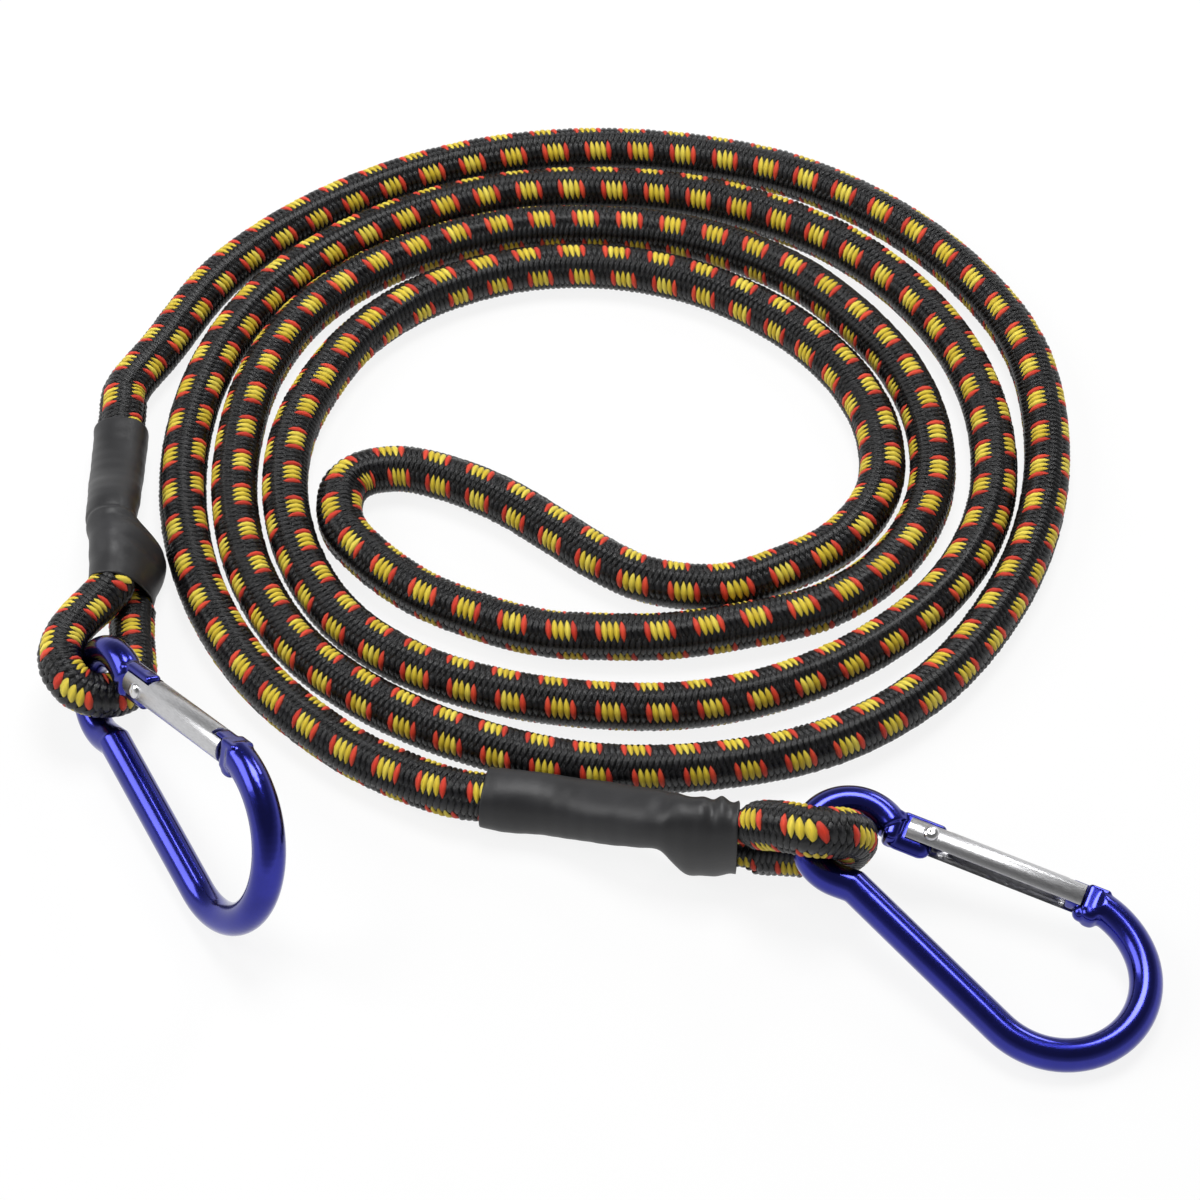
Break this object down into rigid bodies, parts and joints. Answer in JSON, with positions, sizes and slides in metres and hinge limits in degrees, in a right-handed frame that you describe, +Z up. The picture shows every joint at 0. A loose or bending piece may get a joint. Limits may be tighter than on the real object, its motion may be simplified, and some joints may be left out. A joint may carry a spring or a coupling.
{
  "type": "bungee cord",
  "caption": "Elastic cord with a braided sheath, laid in a flat oval coil, with a sleeved eye at each end that holds a snap carabiner with a sprung gate.",
  "frame": {"origin": "centre of the footprint of the sleeves and carabiners, on the plane that the part lies on", "axes": "+Z up; +X from the left end's sleeve towards the right end's carabiner; +Y from the carabiners towards the far side of the coil"},
  "size_m": [0.2202, 0.2503, 0.0377],
  "materials": {
    "braid": "woven, black with yellow and orange-red flecks",
    "core_rubber": "matte",
    "sleeve": "satin, shrunk on",
    "anodised_body": "glossy blue anodised",
    "gate_metal": "satin",
    "bright_metal": "bright"
  },
  "bodies": {
    "cord": {"coil_sheath": "braid", "coil_core": "core_rubber", "eye_sheath_left": "braid", "eye_core_left": "core_rubber", "shrink_sleeve_left": "sleeve", "crimp_band_left": "bright_metal", "eye_sheath_right": "braid", "eye_core_right": "core_rubber", "shrink_sleeve_right": "sleeve", "crimp_band_right": "bright_metal"},
    "carabiner_left": {"carabiner_body_left": "anodised_body", "gate_rivet_left": "bright_metal"},
    "gate_left": {"gate_left": "gate_metal", "gate_spring_left": "bright_metal", "spring_plunger_left": "bright_metal"},
    "carabiner_right": {"carabiner_body_right": "anodised_body", "gate_rivet_right": "bright_metal"},
    "gate_right": {"gate_right": "gate_metal", "gate_spring_right": "bright_metal", "spring_plunger_right": "bright_metal"}
  },
  "joints": [
    {"name": "carabiner_swing_left", "type": "hinge", "parent": "cord", "child": "carabiner_left", "pos_m": [-0.09649, 0.00125, 0.0115], "axis": [-0.8049, -0.4506, 0.3862], "range_deg": [0, 85]},
    {"name": "gate_opening_left", "type": "hinge", "parent": "carabiner_left", "child": "gate_left", "pos_m": [-0.08783, -0.0054, 0.02178], "axis": [0.8049, 0.4506, -0.3862], "range_deg": [0, 26], "stiffness_Nm_per_rad": 0.05, "springref_deg": -11.46},
    {"name": "carabiner_swing_right", "type": "hinge", "parent": "cord", "child": "carabiner_right", "pos_m": [0.04875, -0.03586, 0.01279], "axis": [0.0628, -0.1578, 0.9855], "range_deg": [-80, 110]},
    {"name": "gate_opening_right", "type": "hinge", "parent": "carabiner_right", "child": "gate_right", "pos_m": [0.06368, -0.03471, 0.01202], "axis": [-0.0628, 0.1578, -0.9855], "range_deg": [0, 26], "stiffness_Nm_per_rad": 0.05, "springref_deg": -11.46}
  ]
}
